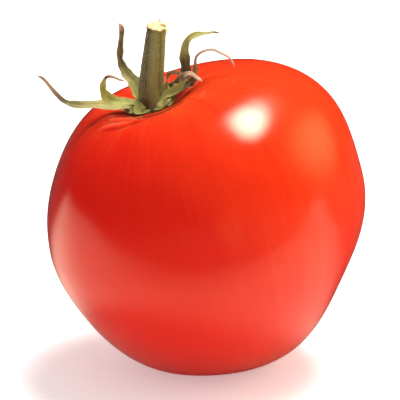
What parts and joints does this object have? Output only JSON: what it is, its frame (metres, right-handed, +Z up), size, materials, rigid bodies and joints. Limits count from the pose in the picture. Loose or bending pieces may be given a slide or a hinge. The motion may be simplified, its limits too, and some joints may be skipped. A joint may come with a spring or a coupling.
{
  "type": "tomato",
  "caption": "Ripe round red tomato with a hollow shoulder, a cut green stalk and a calyx of curled pointed sepals, resting on a small flat spot.",
  "frame": {"origin": "the lowest point of the fruit, on the small flat spot that it rests on", "axes": "+Z is up from the surface it rests on, -Y is the front, and the fruit leans towards -X, where its stalk is"},
  "size_m": [0.0707, 0.0705, 0.0785],
  "materials": {
    "tomato_skin": "smooth waxy skin of a ripe fruit, glossy with a soft clear highlight",
    "stalk_green": "ribbed olive-green bark with fine pale hairs, matte",
    "sepal_green": "thin olive leaf with a pale midrib, drying to a brown curled tip, matte"
  },
  "bodies": {
    "root": {"fruit": "tomato_skin", "calyx_hub": "stalk_green", "stalk": "stalk_green", "sepal_left": "sepal_green", "sepal_front_left": "sepal_green", "sepal_back_left": "sepal_green", "sepal_back_right": "sepal_green", "sepal_right": "sepal_green", "sepal_front_right": "sepal_green"}
  },
  "joints": []
}
